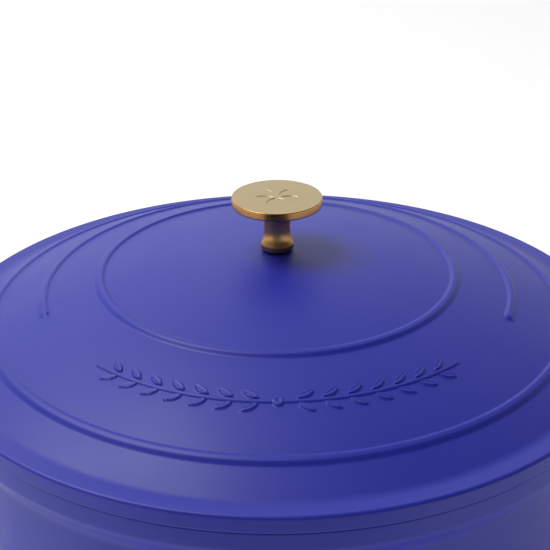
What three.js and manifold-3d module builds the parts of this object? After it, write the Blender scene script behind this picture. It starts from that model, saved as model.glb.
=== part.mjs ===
// A round enamelled cast iron dutch oven: a two-handled pot and a domed, ribbed lid
// with a turned metal knob that is screwed on from below.
//
// Millimetres, +Z up. The origin is the centre of the foot ring, on the table.
// The loop handles are at +X and -X. The front is -Y, where the lid has its leaf sprig.

import * as THREE from 'three';
import { mergeVertices } from 'three/addons/utils/BufferGeometryUtils.js';
import Module from 'manifold-3d';

// ---------------------------------------------------------------- driving dimensions

const restGap = 0.2; // between two faces that rest on each other
const fitGap = 0.3; // radial gap of a pin, shank or spigot in its hole

// Pot
const potBore = 280; // inside diameter at the rim
const potHeight = 116; // table to rim
const potWall = 3.6;
const potFloor = 4.5;
const potDraftDeg = 3; // the wall leans in by this much towards the floor
const potInnerCorner = 26; // radius between wall and floor, inside
const potOuterCorner = 29; // the same, outside
const footRise = 1; // how far the foot ring lifts the middle of the floor
const footWidth = 16;
const rimWidth = 8; // the flat land that the lid rests on
const rimBeadHeight = 9;
const rimBeadBlend = 8; // height over which the bead grows out of the wall
const rimEdge = 1.2; // broken edge of the rim

// Loop handles
const handleDrop = 21; // rim to the middle of the handle
const handleReach = 35; // rim's edge to the grip's outer face
const handleThickness = 11;
const handleRootHalf = 55; // half the width at the wall
const handleTipHalf = 45; // half the width at the grip
const handleCorner = 24; // length of the outer corners' blend
const gripWidth = 12;
const fingerSlot = 17; // the opening between wall web and grip
const fingerSlotHalf = 31; // half its length
const fingerCorner = 8;
const handleRound = 3; // rounding of the handle's edges
const handleTiltDeg = 4; // the grip is a little higher than the root

// Lid
const lidOverhang = 1.4; // the lid's edge stands this far past the rim
const lidFlangeWidth = 8.4; // from the lid's edge to where the dome would meet the flange
const lidFlangeHeight = 7.2;
const lidEdge = 1.5; // rounding of the lid's upper edge
const lidDomeRadius = 300;
const lidDomeFillet = 8; // between dome and flange
const lidWall = 3.4;
const lidBossRadius = 14; // the thick spot under the knob
const lidBossDrop = 2.6;
const skirtGap = 1.4; // locating skirt to the pot's bore
const skirtDepth = 5;
const skirtWall = 4.6;
const skirtEdge = 1; // chamfers at its lower end

// Raised rings on the dome, each measured inwards from where dome and flange meet
const outerRibInset = 15;
const middleRibInset = 39.2;
const innerRibInset = 64;
const ribWidth = 6.4;
const ribHeight = 1.2;
const middleRibOpenDeg = 73; // the middle ring stops this far each side of the front

// Leaf sprig in the opening of the middle ring
const sprigSpanDeg = 44.5; // each side of the front
const sprigInset = 1.3; // its stem lies this far inside the middle ring's line
const sprigStemWidth = 1.4;
const sprigRelief = 0.8;
const leafLength = 7.6;
const leafWidth = 3;
const leafPitchDeg = 5.6;
const leafLeanDeg = 30; // angle between leaf and stem
const leafGap = 0.5; // between the stem's edge and the leaf's foot
const budRadius = 2.4;

// Basting nubs under the dome
const nubRings = 3;
const nubRingPitch = 29;
const nubFirstInset = 20; // skirt to the outer ring of nubs
const nubSpacing = 58; // along each ring
const nubRadius = 3.2;
const nubHeight = 2.4;

// Knob
const knobDiameter = 38.8;
const knobHeight = 24.5; // lid to the top of the knob
const knobDiscThickness = 3.5;
const knobDiscEdge = 0.3;
const knobFootDiameter = 14;
const knobFootHeight = 2.3;
const knobFootChamfer = 0.4;
const knobWaistDiameter = 11.2;
const knobWaistHeight = 11.5; // lid to the waist
const knobNeckDiameter = 15; // where the stem spreads out under the disc
const spigotDiameter = 7;
const spigotLength = 1.8;
const gasketThickness = 0.5;
const gasketDiameter = 12.8;
const petalCount = 6;
const petalLength = 7.6;
const petalWidth = 2.3;
const petalStart = 1.6;
const petalDepth = 0.25;

// Screw and washers
const screwDiameter = 6;
const screwReach = 9; // how far it goes into the knob's stem
const screwTip = 1; // chamfer of its end
const holeSpare = 1.5; // the drill's cone, past the end of the screw
const screwHeadDiameter = 12;
const screwHeadHeight = 3.4;
const screwSlotWidth = 1.6;
const screwSlotDepth = 1.6;
const flatWasherDiameter = 18;
const flatWasherThickness = 1.4;
const lockWasherDiameter = 11;
const lockWasherThickness = 1.6;
const lockWasherSplit = 1.2;

// Facets round a full turn
const bigFacets = 48;
const smallFacets = 32;
const washerFacets = 24;
const budFacets = 10;
const nubFacets = 6;

// ---------------------------------------------------------------- worked-out sizes

const boreRadius = potBore / 2;
const rimRadius = boreRadius + rimWidth;
const draft = THREE.MathUtils.degToRad(potDraftDeg);
const floorTop = footRise + potFloor;

const lidRadius = rimRadius + lidOverhang;
const lidSeat = potHeight + restGap;
const flangeTop = lidSeat + lidFlangeHeight;
const domeEdge = lidRadius - lidFlangeWidth;
const domeCentre = flangeTop - Math.sqrt(lidDomeRadius ** 2 - domeEdge ** 2);
const middleRibRadius = domeEdge - middleRibInset;

const knobSeatRadius = knobFootDiameter / 2 + 1;
const knobSeat = domeCentre + Math.sqrt(lidDomeRadius ** 2 - knobSeatRadius ** 2);
const stemBottom = knobSeat + gasketThickness + 2 * restGap;
const knobTop = knobSeat + knobHeight;
const discBottom = knobTop - knobDiscThickness;
const stemTop = discBottom - restGap;

const screwRadius = screwDiameter / 2;
const screwHole = screwRadius + fitGap;
const bossBottom = knobSeat - lidWall - lidBossDrop;
const flatWasherTop = bossBottom - restGap;
const lockWasherTop = flatWasherTop - flatWasherThickness - restGap;
const screwHeadTop = lockWasherTop - lockWasherThickness - restGap;

// ---------------------------------------------------------------- helpers

const wasm = await Module();
wasm.setup();

const zUp = new THREE.Matrix4().makeRotationX(Math.PI / 2);

// Points along an arc in the (radius, height) plane, angles in degrees.
function arc(centreR, centreZ, radius, fromDeg, toDeg, steps) {
  const points = [];
  for (let i = 0; i <= steps; i += 1) {
    const angle = THREE.MathUtils.degToRad(fromDeg + ((toDeg - fromDeg) * i) / steps);
    points.push([centreR + radius * Math.cos(angle), centreZ + radius * Math.sin(angle)]);
  }
  return points;
}

// A solid of revolution about Z. A profile that leaves the axis has to close on itself.
function turned(profile, facets) {
  const points = profile.map(([r, z]) => new THREE.Vector2(r, z));
  return new THREE.LatheGeometry(points, facets).applyMatrix4(zUp);
}

// Closes a profile that doesn't touch the axis.
function closed(profile) {
  return [...profile, profile[0]];
}

// Turns a closed geometry into a solid that can be cut and joined.
function toSolid(geometry) {
  const bare = geometry.clone();
  bare.deleteAttribute('normal');
  bare.deleteAttribute('uv');
  const merged = mergeVertices(bare);
  const corners = merged.index.array;
  const triangles = [];
  for (let i = 0; i < corners.length; i += 3) {
    const [a, b, c] = corners.slice(i, i + 3);
    // A lathe has triangles of no area where its profile meets the axis.
    if (a !== b && b !== c && c !== a) {
      triangles.push(a, b, c);
    }
  }
  const vertProperties = new Float32Array(merged.attributes.position.array);
  const triVerts = new Uint32Array(triangles);
  return new wasm.Manifold(new wasm.Mesh({ numProp: 3, vertProperties, triVerts }));
}

// And back again.
function toGeometry(solid) {
  const mesh = solid.getMesh();
  const geometry = new THREE.BufferGeometry();
  geometry.setAttribute('position', new THREE.BufferAttribute(mesh.vertProperties, 3));
  geometry.setIndex(new THREE.BufferAttribute(mesh.triVerts, 1));
  geometry.computeVertexNormals();
  return geometry;
}

// A closed outline through corners whose points are cut back and blended.
function softOutline(path, corners, blend) {
  const count = corners.length;
  const points = corners.map(([x, y]) => new THREE.Vector2(x, y));
  points.forEach((corner, i) => {
    const before = points[(i + count - 1) % count].clone().sub(corner).setLength(blend);
    const after = points[(i + 1) % count].clone().sub(corner).setLength(blend);
    const from = corner.clone().add(before);
    const to = corner.clone().add(after);
    if (i === 0) {
      path.moveTo(from.x, from.y);
    } else {
      path.lineTo(from.x, from.y);
    }
    path.quadraticCurveTo(corner.x, corner.y, to.x, to.y);
  });
  path.closePath();
  return path;
}

// A pointed leaf, from its foot at the origin along +X.
function leafShape(length, width) {
  const shape = new THREE.Shape();
  shape.moveTo(0, 0);
  shape.quadraticCurveTo(length * 0.45, -width, length, 0);
  shape.quadraticCurveTo(length * 0.45, width, 0, 0);
  return shape;
}

function makeMesh(name, geometry, colour, roughness, metalness) {
  const material = new THREE.MeshStandardMaterial({ color: colour, roughness, metalness });
  const mesh = new THREE.Mesh(geometry, material);
  mesh.name = name;
  return mesh;
}

// ---------------------------------------------------------------- pot

// Where a corner arc has to be centred so that it meets both the leaning wall and the floor.
function cornerCentre(wallAtRim, floorZ, radius) {
  const z = floorZ + radius;
  const tangentZ = z - radius * Math.sin(draft);
  const tangentR = wallAtRim - (potHeight - tangentZ) * Math.tan(draft);
  return [tangentR - radius * Math.cos(draft), z];
}

function potCavity() {
  const [r, z] = cornerCentre(boreRadius, floorTop, potInnerCorner);
  const profile = [
    [0, floorTop],
    ...arc(r, z, potInnerCorner, -90, -potDraftDeg, 6),
    [boreRadius, potHeight - rimEdge],
    [boreRadius + rimEdge, potHeight],
    [boreRadius + rimEdge, potHeight + rimWidth],
    [0, potHeight + rimWidth],
  ];
  return toSolid(turned(profile, bigFacets));
}

function potOutside() {
  const wallAtRim = boreRadius + potWall;
  const [r, z] = cornerCentre(wallAtRim, footRise, potOuterCorner);
  const blendZ = potHeight - rimBeadHeight - rimBeadBlend;
  const wallAtBlend = wallAtRim - (potHeight - blendZ) * Math.tan(draft);
  const profile = [
    [0, footRise],
    [r - footWidth, footRise],
    [r - footWidth + footRise, 0],
    [r, 0],
    [r + footRise, footRise * 0.6],
    ...arc(r, z, potOuterCorner, -82, -potDraftDeg, 6),
    [wallAtBlend, blendZ],
    [(wallAtBlend + rimRadius) / 2, blendZ + rimBeadBlend * 0.35],
    [rimRadius, blendZ + rimBeadBlend],
    [rimRadius, potHeight - rimEdge],
    [rimRadius - rimEdge, potHeight],
    [0, potHeight],
  ];
  return toSolid(turned(profile, bigFacets));
}

// One loop handle, cast with the pot: side 1 is at +X, side -1 at -X.
function loopHandle(side) {
  const gripOuter = rimRadius + handleReach;
  const slotOuter = gripOuter - gripWidth;
  const slotInner = slotOuter - fingerSlot;
  const root = boreRadius - 2 * potWall;
  const outline = softOutline(new THREE.Shape(), [
    [root, -handleRootHalf],
    [gripOuter, -handleTipHalf],
    [gripOuter, handleTipHalf],
    [root, handleRootHalf],
  ], handleCorner);
  outline.holes.push(softOutline(new THREE.Path(), [
    [slotInner, -fingerSlotHalf],
    [slotInner, fingerSlotHalf],
    [slotOuter, fingerSlotHalf],
    [slotOuter, -fingerSlotHalf],
  ], fingerCorner));
  const geometry = new THREE.ExtrudeGeometry(outline, {
    depth: handleThickness - 2 * handleRound,
    curveSegments: 4,
    bevelThickness: handleRound,
    bevelSize: handleRound,
    bevelOffset: -handleRound,
    bevelSegments: 2,
  });
  geometry.translate(-rimRadius, 0, handleRound - handleThickness / 2);
  geometry.rotateY(-THREE.MathUtils.degToRad(handleTiltDeg));
  geometry.translate(rimRadius, 0, potHeight - handleDrop);
  if (side < 0) {
    geometry.rotateZ(Math.PI);
  }
  return toSolid(geometry);
}

function potBody() {
  const casting = potOutside()
    .add(loopHandle(1))
    .add(loopHandle(-1))
    .subtract(potCavity());
  return makeMesh('pot_body', toGeometry(casting), 0x3a3f9c, 0.5, 0.0);
}

// ---------------------------------------------------------------- lid

// Height of the plain dome's outside at a radius.
function domeZ(r) {
  return domeCentre + Math.sqrt(lidDomeRadius ** 2 - r ** 2);
}

// The raised section of a ring, as points from its inner foot to its outer foot.
function ribPoints(radius, width, height) {
  const steps = 4;
  const points = [];
  for (let i = 0; i <= steps; i += 1) {
    const across = (2 * i) / steps - 1;
    const r = radius + (across * width) / 2;
    const rise = (height * (1 + Math.cos(Math.PI * across))) / 2;
    points.push([r, domeZ(r) + rise]);
  }
  return points;
}

// A ring on the dome that runs only part of the way round, between two azimuths that are
// counted in degrees from the front, anticlockwise seen from above.
function partRib(radius, width, height, fromDeg, toDeg) {
  const top = ribPoints(radius, width, height);
  const below = [
    [radius + width / 2, domeZ(radius + width / 2) - lidWall / 2],
    [radius - width / 2, domeZ(radius - width / 2) - lidWall / 2],
  ];
  const round = turned(closed([...top, ...below].reverse()), bigFacets);
  // Half a facet off the dome's own facets, so that no edge of one lies along the other's.
  const ring = toSolid(round.rotateZ(Math.PI / bigFacets));
  const from = THREE.MathUtils.degToRad(fromDeg - 90);
  const to = THREE.MathUtils.degToRad(toDeg - 90);
  const sector = new THREE.Shape();
  sector.moveTo(0, 0);
  sector.absarc(0, 0, 2 * lidRadius, from, to, false);
  sector.closePath();
  const wedge = new THREE.ExtrudeGeometry(sector, {
    depth: knobTop,
    curveSegments: 12,
    bevelEnabled: false,
  });
  return ring.intersect(toSolid(wedge));
}

// Places a flat shape on the dome: local X runs round the lid, Y up the dome, Z outwards.
function onDome(geometry, radius, azimuthDeg) {
  const azimuth = THREE.MathUtils.degToRad(azimuthDeg);
  const out = new THREE.Vector3(Math.sin(azimuth), -Math.cos(azimuth), 0);
  const normal = out.clone().multiplyScalar(radius / lidDomeRadius);
  normal.z = Math.sqrt(1 - (radius / lidDomeRadius) ** 2);
  const round = new THREE.Vector3(Math.cos(azimuth), Math.sin(azimuth), 0);
  const up = normal.clone().cross(round);
  const place = new THREE.Matrix4().makeBasis(round, up, normal);
  place.setPosition(out.x * radius, out.y * radius, domeZ(radius));
  return geometry.applyMatrix4(place);
}

// The raised sprig: a thin stem, a bud at the front and slanted leaves in pairs.
function sprig(casting) {
  const radius = middleRibRadius - sprigInset;
  const bury = lidWall / 3;
  let result = casting.add(
    partRib(radius, sprigStemWidth, sprigRelief * 0.75, -sprigSpanDeg, sprigSpanDeg),
  );
  const budHeight = sprigRelief + bury;
  const bud = new THREE.CylinderGeometry(budRadius * 0.8, budRadius, budHeight, budFacets);
  bud.rotateY(Math.PI / 3);
  bud.rotateX(Math.PI / 2);
  bud.translate(0, 0, (sprigRelief - bury) / 2);
  result = result.add(toSolid(onDome(bud, radius, 0)));
  const pairs = Math.floor((sprigSpanDeg - leafPitchDeg / 2) / leafPitchDeg);
  for (const side of [-1, 1]) {
    for (let i = 0; i < pairs; i += 1) {
      for (const lean of [-1, 1]) {
        const leaf = new THREE.ExtrudeGeometry(leafShape(leafLength, leafWidth), {
          depth: sprigRelief + bury,
          curveSegments: 3,
          bevelEnabled: false,
        });
        leaf.translate(0, 0, -bury);
        const heading = side > 0 ? leafLeanDeg * lean : 180 - leafLeanDeg * lean;
        leaf.rotateZ(THREE.MathUtils.degToRad(heading));
        leaf.translate(0, lean * (sprigStemWidth / 2 + leafGap), 0);
        const azimuth = side * leafPitchDeg * (i + 0.75);
        result = result.add(toSolid(onDome(leaf, radius, azimuth)));
      }
    }
  }
  return result;
}

// Small cast points under the dome, in rings, that let condensed steam drip back.
function bastingNubs(casting, innerRadius, skirtInner) {
  let result = casting;
  for (let ring = 0; ring < nubRings; ring += 1) {
    const radius = skirtInner - nubFirstInset - ring * nubRingPitch;
    const count = Math.max(3, Math.round((2 * Math.PI * radius) / nubSpacing));
    const ceiling = domeCentre + Math.sqrt(innerRadius ** 2 - radius ** 2);
    const length = nubHeight + lidWall / 2;
    for (let i = 0; i < count; i += 1) {
      const turn = (2 * Math.PI * (i + 0.2 + ring / 3)) / count;
      const nub = new THREE.CylinderGeometry(nubRadius, nubRadius * 0.45, length, nubFacets);
      nub.rotateX(Math.PI / 2);
      nub.translate(
        radius * Math.cos(turn),
        radius * Math.sin(turn),
        ceiling - nubHeight + length / 2,
      );
      result = result.add(toSolid(nub));
    }
  }
  return result;
}

function lid() {
  const filletReach = lidDomeRadius + lidDomeFillet;
  const filletZ = flangeTop + lidDomeFillet;
  const filletR = Math.sqrt(filletReach ** 2 - (filletZ - domeCentre) ** 2);
  const filletDeg = THREE.MathUtils.radToDeg(Math.atan2(domeCentre - filletZ, -filletR));
  const innerRib = domeEdge - innerRibInset;
  const outerRib = domeEdge - outerRibInset;

  // Outside, from the screw hole down to the edge.
  const outside = [[screwHole, knobSeat], [knobSeatRadius, knobSeat]];
  const middle = innerRib - ribWidth / 2;
  for (const share of [0.3, 0.55, 0.78]) {
    outside.push([middle * share, domeZ(middle * share)]);
  }
  outside.push(...ribPoints(innerRib, ribWidth, ribHeight));
  const between = (innerRib + outerRib) / 2;
  for (const step of [-0.5, 0.5]) {
    const r = between + (step * (outerRib - innerRib)) / 2;
    outside.push([r, domeZ(r)]);
  }
  outside.push(...ribPoints(outerRib, ribWidth, ribHeight));
  outside.push(...arc(filletR, filletZ, lidDomeFillet, filletDeg + 360, 270, 3));
  outside.push(...arc(lidRadius - lidEdge, flangeTop - lidEdge, lidEdge, 90, 0, 3));

  // Underside, from the edge back to the screw hole.
  const skirtOuter = boreRadius - skirtGap;
  const skirtInner = skirtOuter - skirtWall;
  const innerRadius = lidDomeRadius - lidWall;
  const ceiling = (r) => domeCentre + Math.sqrt(innerRadius ** 2 - r ** 2);
  const underside = [
    [lidRadius, lidSeat + lidEdge / 2],
    [lidRadius - lidEdge / 2, lidSeat],
    [skirtOuter, lidSeat],
    [skirtOuter, lidSeat - skirtDepth + skirtEdge],
    [skirtOuter - skirtEdge, lidSeat - skirtDepth],
    [skirtInner + skirtEdge, lidSeat - skirtDepth],
    [skirtInner, lidSeat - skirtDepth + skirtEdge],
  ];
  const ceilingSteps = 5;
  for (let i = 0; i <= ceilingSteps; i += 1) {
    const r = skirtInner + ((lidBossRadius + lidBossDrop - skirtInner) * i) / ceilingSteps;
    underside.push([r, ceiling(r)]);
  }
  underside.push([lidBossRadius, bossBottom], [screwHole, bossBottom]);

  let casting = toSolid(turned(closed([...outside, ...underside].reverse()), bigFacets));
  casting = casting.add(
    partRib(middleRibRadius, ribWidth, ribHeight, middleRibOpenDeg, 360 - middleRibOpenDeg),
  );
  casting = sprig(casting);
  casting = bastingNubs(casting, innerRadius, skirtInner);
  return makeMesh('lid', toGeometry(casting), 0x4347a6, 0.5, 0.0);
}

// ---------------------------------------------------------------- knob

function knobDisc() {
  const radius = knobDiameter / 2;
  const socketRadius = spigotDiameter / 2 + fitGap;
  const socketTop = discBottom + spigotLength + restGap;
  const profile = [
    [0, socketTop],
    [socketRadius, socketTop],
    [socketRadius, discBottom],
    [radius - knobDiscEdge, discBottom],
    [radius, discBottom + knobDiscEdge],
    [radius, knobTop - knobDiscEdge],
    [radius - knobDiscEdge, knobTop],
    [0, knobTop],
  ];
  let disc = toSolid(turned(profile, smallFacets));
  for (let i = 0; i < petalCount; i += 1) {
    const petal = new THREE.ExtrudeGeometry(leafShape(petalLength, petalWidth), {
      depth: 2 * petalDepth,
      curveSegments: 4,
      bevelEnabled: false,
    });
    petal.translate(petalStart, 0, knobTop - petalDepth);
    petal.rotateZ((2 * Math.PI * (i + 0.5)) / petalCount);
    disc = disc.subtract(toSolid(petal));
  }
  return makeMesh('knob_disc', toGeometry(disc), 0xc2a573, 0.35, 1.0);
}

// Points down one of the stem's hollow curves, from its wide end to the waist.
function flare(wideZ, wideR, waistZ, waistR) {
  const steps = 6;
  const steepness = 2.6;
  const points = [];
  for (let i = 0; i <= steps; i += 1) {
    const t = i / steps;
    const r = waistR + (wideR - waistR) * (1 - t) ** steepness;
    points.push([r, wideZ + (waistZ - wideZ) * t]);
  }
  return points;
}

function knobStem() {
  const footRadius = knobFootDiameter / 2;
  const waistRadius = knobWaistDiameter / 2;
  const waistZ = knobSeat + knobWaistHeight;
  const holeTop = stemBottom + screwReach + holeSpare;
  const lowerCurve = flare(stemBottom + knobFootHeight, footRadius, waistZ, waistRadius);
  const upperCurve = flare(stemTop, knobNeckDiameter / 2, waistZ, waistRadius).reverse();
  const profile = [
    [0, holeTop],
    [screwHole, holeTop - holeSpare],
    [screwHole, stemBottom],
    [footRadius - knobFootChamfer, stemBottom],
    [footRadius, stemBottom + knobFootChamfer],
    ...lowerCurve,
    ...upperCurve.slice(1),
    [spigotDiameter / 2, stemTop],
    [spigotDiameter / 2, stemTop + spigotLength],
    [0, stemTop + spigotLength],
  ];
  return makeMesh('knob_stem', turned(profile, smallFacets), 0xb98b4e, 0.22, 1.0);
}

// A flat ring from its underside to its upper side.
function ring(innerRadius, outerRadius, bottom, top, facets) {
  return turned(closed([
    [innerRadius, bottom],
    [outerRadius, bottom],
    [outerRadius, top],
    [innerRadius, top],
  ]), facets);
}

function knobGasket() {
  const bottom = knobSeat + restGap;
  const geometry = ring(
    screwHole,
    gasketDiameter / 2,
    bottom,
    bottom + gasketThickness,
    smallFacets,
  );
  return makeMesh('knob_gasket', geometry, 0x0b0b0d, 0.8, 0.0);
}

// ---------------------------------------------------------------- screw and washers

function knobScrew() {
  const headRadius = screwHeadDiameter / 2;
  const headBottom = screwHeadTop - screwHeadHeight;
  const tip = stemBottom + screwReach;
  const profile = [
    [0, headBottom],
    [headRadius * 0.6, headBottom],
    [headRadius * 0.9, headBottom + screwHeadHeight * 0.3],
    [headRadius, headBottom + screwHeadHeight * 0.65],
    [headRadius, screwHeadTop],
    [screwRadius, screwHeadTop],
    [screwRadius, tip - screwTip],
    [screwRadius - screwTip, tip],
    [0, tip],
  ];
  const slot = new THREE.BoxGeometry(screwHeadDiameter + 2, screwSlotWidth, 2 * screwSlotDepth);
  slot.translate(0, 0, headBottom);
  const screw = toSolid(turned(profile, washerFacets)).subtract(toSolid(slot));
  return makeMesh('knob_screw', toGeometry(screw), 0xb8babd, 0.3, 1.0);
}

function flatWasher() {
  const geometry = ring(
    screwHole,
    flatWasherDiameter / 2,
    flatWasherTop - flatWasherThickness,
    flatWasherTop,
    washerFacets,
  );
  return makeMesh('flat_washer', geometry, 0xc4c6c8, 0.3, 1.0);
}

// A spring washer: a ring with a slanted split.
function lockWasher() {
  const bottom = lockWasherTop - lockWasherThickness;
  const outerRadius = lockWasherDiameter / 2;
  const whole = toSolid(ring(screwHole, outerRadius, bottom, lockWasherTop, washerFacets));
  const split = new THREE.BoxGeometry(lockWasherSplit, outerRadius, 3 * lockWasherThickness);
  split.rotateY(THREE.MathUtils.degToRad(25));
  split.translate(0, outerRadius * 0.75, bottom + lockWasherThickness / 2);
  const geometry = toGeometry(whole.subtract(toSolid(split)));
  return makeMesh('lock_washer', geometry, 0xa9abae, 0.35, 1.0);
}

// ---------------------------------------------------------------- assembly

const group = new THREE.Group();
group.add(potBody());

const lidAssembly = new THREE.Group();
lidAssembly.add(lid());
lidAssembly.add(knobGasket());
lidAssembly.add(knobStem());
lidAssembly.add(knobDisc());
lidAssembly.add(flatWasher());
lidAssembly.add(lockWasher());
lidAssembly.add(knobScrew());
group.add(lidAssembly);

export default group;
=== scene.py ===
# %% [markdown]
# # A round cast iron dutch oven, in Blender
#
# The real thing is two iron castings and a small turned knob. The pot and the lid are poured,
# ground, and coated with glass enamel: a satin blue outside and a matt black inside. The knob is
# a brushed disc on a waisted stem, held by one screw that comes up through the lid.
#
# The CAD model already says where everything is and how big it is. This file only gives it looks,
# so it starts by loading that model as a frame that doesn't move. Each visible piece is then
# built again with finer curves in the same place, and its plain CAD solid is hidden.

import math

import bmesh
import bpy
import numpy as np
from mathutils import Matrix, Vector


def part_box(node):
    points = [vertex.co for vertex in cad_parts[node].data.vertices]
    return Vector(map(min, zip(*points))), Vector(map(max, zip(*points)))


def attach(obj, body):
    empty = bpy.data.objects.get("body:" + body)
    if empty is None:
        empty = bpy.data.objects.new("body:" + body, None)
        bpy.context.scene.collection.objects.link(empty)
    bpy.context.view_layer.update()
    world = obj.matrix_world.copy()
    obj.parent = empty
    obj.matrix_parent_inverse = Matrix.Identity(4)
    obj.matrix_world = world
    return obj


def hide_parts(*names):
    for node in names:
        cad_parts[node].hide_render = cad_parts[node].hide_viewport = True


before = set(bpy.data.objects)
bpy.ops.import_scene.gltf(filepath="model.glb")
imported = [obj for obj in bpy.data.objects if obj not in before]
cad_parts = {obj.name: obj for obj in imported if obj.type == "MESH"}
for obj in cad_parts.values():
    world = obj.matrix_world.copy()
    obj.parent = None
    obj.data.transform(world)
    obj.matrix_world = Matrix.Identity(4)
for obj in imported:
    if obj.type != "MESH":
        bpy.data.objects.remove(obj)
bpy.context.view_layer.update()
print("nodes:", sorted(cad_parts))

# %% [markdown]
# ## Sizes
#
# Overall sizes are read from the frame's boxes, in millimetres, because a maker thinks in them.
# The frame can't tell how wide the rim is or how round the dome is, so such sizes are written here
# by name, with the CAD source's values. Where this file is drawn more closely than the CAD, mostly
# in the lid's rings, it differs from it by 3 mm or less.

# %% Sizes from the frame, and the curves between them
def box_mm(node):
    """A node's lowest and highest corner, in millimetres."""
    low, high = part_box(node)
    return np.array(low) * 1000, np.array(high) * 1000


_, pot_high = box_mm("pot_body")
lid_low, lid_high = box_mm("lid")
disc_low, disc_high = box_mm("knob_disc")
stem_low, stem_high = box_mm("knob_stem")
gasket_low, gasket_high = box_mm("knob_gasket")
flat_low, flat_high = box_mm("flat_washer")
lock_low, lock_high = box_mm("lock_washer")
screw_low, screw_high = box_mm("knob_screw")

POT_HEIGHT = pot_high[2]
HANDLE_REACH = pot_high[0]
LID_RADIUS = (lid_high[0] - lid_low[0]) / 2
LID_OVERHANG, RIM_WIDTH, REST_GAP = 1.4, 8, 0.2
RIM_RADIUS = LID_RADIUS - LID_OVERHANG
BORE_RADIUS = RIM_RADIUS - RIM_WIDTH
LID_SEAT = POT_HEIGHT + REST_GAP
FLANGE_HEIGHT, FLANGE_WIDTH = 7.2, 8.4
FLANGE_TOP = LID_SEAT + FLANGE_HEIGHT
DOME_RADIUS = 300
DOME_EDGE = LID_RADIUS - FLANGE_WIDTH
DOME_CENTRE = FLANGE_TOP - math.sqrt(DOME_RADIUS**2 - DOME_EDGE**2)
FLAT_RADIUS = 8.0  # the flat spot that the knob stands on
KNOB_SEAT = DOME_CENTRE + math.sqrt(DOME_RADIUS**2 - FLAT_RADIUS**2)
SCREW_HOLE = 3.3
print(f"lid {2 * LID_RADIUS:.1f} mm across, knob seat {KNOB_SEAT:.2f} mm above the table")

# %% [markdown]
# ## Turning a profile
#
# Nearly every piece here is round, as if made on a lathe or from a swept pattern. So the first
# tool is a drawn profile: corners with a radius on each, as on a workshop drawing. Each corner
# becomes an arc. Straight runs get a point just beside each arc, which keeps flat faces looking
# flat when they are shaded smooth.

# %% Profile tools
def rounded(corners, closed=False, arc_deg=9.0):
    """A path through (x, y, radius) corners, with each corner turned into an arc."""
    path = []
    count = len(corners)
    for i, (x, y, radius) in enumerate(corners):
        here = np.array([x, y], float)
        if radius == 0 or (not closed and i in (0, count - 1)):
            path.append(here)
            continue
        before = np.array(corners[i - 1][:2], float) - here
        after = np.array(corners[(i + 1) % count][:2], float) - here
        before /= np.linalg.norm(before)
        after /= np.linalg.norm(after)
        half = math.acos(np.clip(before @ after, -1, 1)) / 2
        middle = (before + after) / np.linalg.norm(before + after)
        centre = here + middle * radius / math.sin(half)
        start = here + before * radius / math.tan(half) - centre
        stop = here + after * radius / math.tan(half) - centre
        first = math.atan2(start[1], start[0])
        turn = math.atan2(stop[1], stop[0]) - first
        turn = (turn + math.pi) % (2 * math.pi) - math.pi
        steps = max(2, math.ceil(abs(math.degrees(turn)) / arc_deg))
        for k in range(steps + 1):
            angle = first + turn * k / steps
            path.append(centre + radius * np.array([math.cos(angle), math.sin(angle)]))
    return np.array(path)


def held(path, closed=False, hold=0.35, longest=12.0):
    """Adds points to the straight runs of a path: one beside each end, and more in long runs."""
    out = []
    count = len(path)
    for i in range(count if closed else count - 1):
        here, there = path[i], path[(i + 1) % count]
        length = np.linalg.norm(there - here)
        shares = [0.0]
        if length > 4 * hold:
            shares += [hold / length, 1 - hold / length]
        if length > longest:
            shares += list(np.arange(1, math.ceil(length / longest)) / math.ceil(length / longest))
        out += [here + (there - here) * share for share in sorted(shares)]
    if not closed:
        out.append(path[-1])
    return np.array(out)


corner_test = held(rounded([(0, 0, 0), (10, 0, 2), (10, 10, 0)]))
print(len(corner_test), "points on a test profile with one 2 mm corner")

# %% [markdown]
# ## From rows of points to a skin
#
# A turned shape is a grid: rows along the profile, columns round the axis. One function joins
# any such grid into four-sided faces and closes it, so that every shell is watertight and could
# be printed. Azimuth 0 is the front, towards -Y, and it grows anticlockwise seen from above.

# %% Skin tools
class Shell:
    """A closed skin: its points in millimetres, its faces, and each face's finish number."""

    def __init__(self, points, faces, finish):
        self.points, self.faces, self.finish = points, faces, finish


def skin(rows, loop, finish=None):
    """Joins a grid of points (row, column, xyz). Columns close on themselves. With loop, the
    last row meets the first; otherwise each end is closed by a fan round its middle."""
    count, across = rows.shape[:2]
    strips = count if loop else count - 1
    finish = [0] * strips if finish is None else finish
    points = rows.reshape(-1, 3)
    column = np.arange(across)
    beside = (column + 1) % across
    faces, kinds = [], []
    for row in range(strips):
        here, there = row * across, ((row + 1) % count) * across
        strip = np.stack([here + column, here + beside, there + beside, there + column], 1)
        faces += strip.tolist()
        kinds += [finish[row]] * across
    if not loop:
        middles = np.array([rows[0].mean(0), rows[-1].mean(0)])
        points = np.vstack([points, middles])
        first, last = len(points) - 2, len(points) - 1
        end = (count - 1) * across
        faces += [[first, int(b), int(a)] for a, b in zip(column, beside)]
        faces += [[last, end + int(a), end + int(b)] for a, b in zip(column, beside)]
        kinds += [finish[0]] * across + [finish[-1]] * across
    return Shell(points, faces, kinds)


def turned(path, azimuth):
    """Rows for a turned shape, from a profile of (radius, height) and a list of azimuths."""
    radius, height = path[:, :1], path[:, 1:]
    around = np.asarray(azimuth)[None, :]
    return np.stack(
        [radius * np.sin(around), -radius * np.cos(around), height + 0 * around], 2
    )


def evenly(columns):
    """Azimuths evenly spaced round a full turn."""
    return np.arange(columns) * 2 * math.pi / columns


def moved(shell, offset):
    return Shell(shell.points + np.array(offset), shell.faces, shell.finish)


SHARP_DEG = 40


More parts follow.
